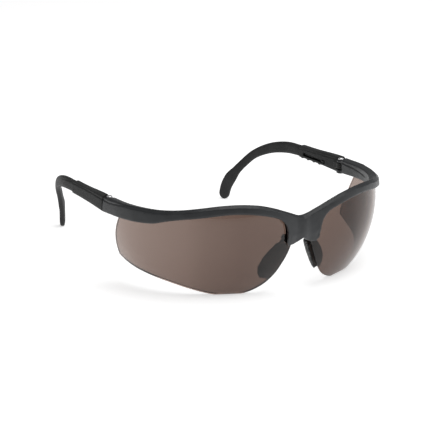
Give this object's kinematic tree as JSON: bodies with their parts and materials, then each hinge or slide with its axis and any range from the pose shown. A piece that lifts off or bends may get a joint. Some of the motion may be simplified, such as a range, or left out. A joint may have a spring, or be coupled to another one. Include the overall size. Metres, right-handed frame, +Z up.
{
  "type": "safety glasses",
  "caption": "Half-frame wraparound safety glasses with tinted spherical lenses, soft nose pads and folding temples that ratchet out to length.",
  "frame": {"origin": "centre of the footprint, on the surface that the glasses stand on: z = 0 passes through the lowest edge of both lenses and the tips of both temples", "axes": "+Z up, -Y the way the wearer looks, +X the wearer's left"},
  "size_m": [0.1432, 0.1491, 0.0472],
  "materials": {
    "frame": "satin moulded nylon, charcoal",
    "lens": "polished polycarbonate, grey-brown tint, see-through",
    "nose_pad": "soft black rubber with fine ribs on the nose side",
    "hinge_pin": "bright steel",
    "temple": "fine matte moulded nylon, near black"
  },
  "bodies": {
    "front": {"frame": "frame", "left_lens": "lens", "right_lens": "lens", "left_nose_pad": "nose_pad", "right_nose_pad": "nose_pad", "left_hinge_pin": "hinge_pin", "right_hinge_pin": "hinge_pin"},
    "left_sleeve": {"left_temple_sleeve": "temple"},
    "left_arm": {"left_temple_arm": "temple"},
    "right_sleeve": {"right_temple_sleeve": "temple"},
    "right_arm": {"right_temple_arm": "temple"}
  },
  "joints": [
    {"name": "left_temple_fold", "type": "hinge", "parent": "front", "child": "left_sleeve", "pos_m": [0.068, -0.00828, 0.0365], "axis": [0, 0, 1], "range_deg": [0, 90]},
    {"name": "left_arm_slide", "type": "slide", "parent": "left_sleeve", "child": "left_arm", "axis": [-0.0517, 0.9986, -0.0137], "range_m": [0, 0.0141]},
    {"name": "right_temple_fold", "type": "hinge", "parent": "front", "child": "right_sleeve", "pos_m": [-0.068, -0.00828, 0.0365], "axis": [0, 0, -1], "range_deg": [0, 82]},
    {"name": "right_arm_slide", "type": "slide", "parent": "right_sleeve", "child": "right_arm", "axis": [0.0517, 0.9986, -0.0137], "range_m": [0, 0.0141]}
  ]
}
